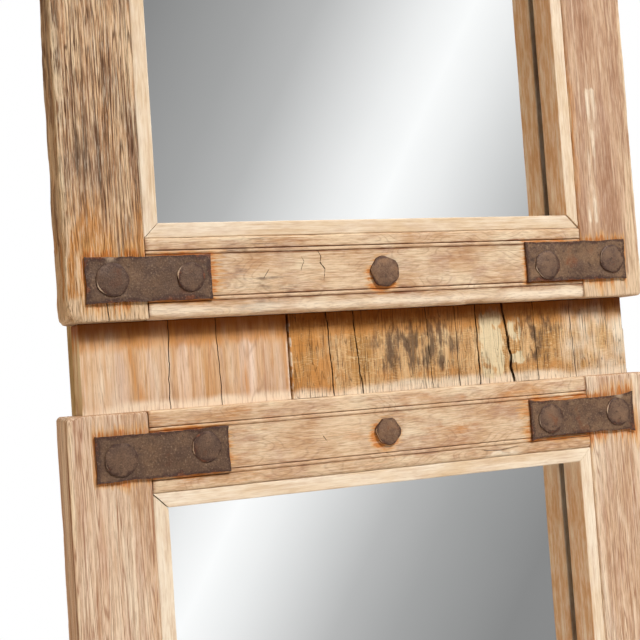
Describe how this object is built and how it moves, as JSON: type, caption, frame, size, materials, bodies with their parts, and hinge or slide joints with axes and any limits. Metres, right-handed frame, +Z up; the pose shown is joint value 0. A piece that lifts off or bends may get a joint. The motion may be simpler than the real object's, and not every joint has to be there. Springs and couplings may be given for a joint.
{
  "type": "window mirror",
  "caption": "Rustic window-style wall mirror: stacked beaded wood frames with iron corner straps, forged nails, pale liners and a recessed band of boards between the frames.",
  "frame": {"origin": "on the wall plane, midway between the two wall hooks that the raised hanger rings hang on", "axes": "+X to the viewer's right, +Z up, +Y into the wall, so the mirrors face -Y"},
  "size_m": [0.546, 0.0683, 1.3519],
  "materials": {
    "weathered_wood": "weathered, open grain",
    "brown_wood": "worn smooth",
    "honey_wood": "worn, waxed",
    "tan_wood": "worn, bare",
    "pale_wood": "bare, planed",
    "pink_tan_wood": "worn smooth",
    "ochre_wood": "weathered, cracked",
    "tenon_wood": "plain",
    "batten_wood": "sawn",
    "plywood": "sanded",
    "mirror_glass": "silvered glass",
    "rusty_iron": "forged, rusted",
    "plain_steel": "bright",
    "zinc_steel": "zinc plated"
  },
  "bodies": {
    "mirror": {"upper_left_stile": "weathered_wood", "upper_right_stile": "brown_wood", "upper_bottom_rail": "honey_wood", "upper_top_rail": "honey_wood", "upper_bottom_liner": "pale_wood", "upper_top_liner": "pale_wood", "upper_left_liner": "pale_wood", "upper_right_liner": "pale_wood", "upper_mirror": "mirror_glass", "upper_back_panel": "plywood", "upper_bottom_left_strap": "rusty_iron", "upper_bottom_right_strap": "rusty_iron", "upper_top_left_strap": "rusty_iron", "upper_top_right_strap": "rusty_iron", "upper_strap_nails": "rusty_iron", "upper_centre_nails": "rusty_iron", "upper_panel_sprigs": "plain_steel", "lower_left_stile": "tan_wood", "lower_right_stile": "tan_wood", "lower_bottom_rail": "honey_wood", "lower_top_rail": "honey_wood", "lower_bottom_liner": "pale_wood", "lower_top_liner": "pale_wood", "lower_left_liner": "pale_wood", "lower_right_liner": "pale_wood", "lower_mirror": "mirror_glass", "lower_back_panel": "plywood", "lower_bottom_left_strap": "rusty_iron", "lower_bottom_right_strap": "rusty_iron", "lower_top_left_strap": "rusty_iron", "lower_top_right_strap": "rusty_iron", "lower_strap_nails": "rusty_iron", "lower_centre_nails": "rusty_iron", "lower_panel_sprigs": "plain_steel", "left_spacer_board": "pink_tan_wood", "right_spacer_board": "ochre_wood", "spacer_tenons": "tenon_wood", "left_batten": "batten_wood", "right_batten": "batten_wood", "batten_nails": "plain_steel", "left_hanger_plate": "zinc_steel", "right_hanger_plate": "zinc_steel", "hanger_screws": "zinc_steel"},
    "left_ring": {"left_hanger_ring": "zinc_steel"},
    "right_ring": {"right_hanger_ring": "zinc_steel"}
  },
  "joints": [
    {"name": "left_ring_hinge", "type": "hinge", "parent": "mirror", "child": "left_ring", "pos_m": [-0.17, -0.01485, -0.01725], "axis": [1, 0, 0], "range_deg": [0, 180]},
    {"name": "right_ring_hinge", "type": "hinge", "parent": "mirror", "child": "right_ring", "pos_m": [0.17, -0.01485, -0.01725], "axis": [1, 0, 0], "range_deg": [0, 180]}
  ]
}
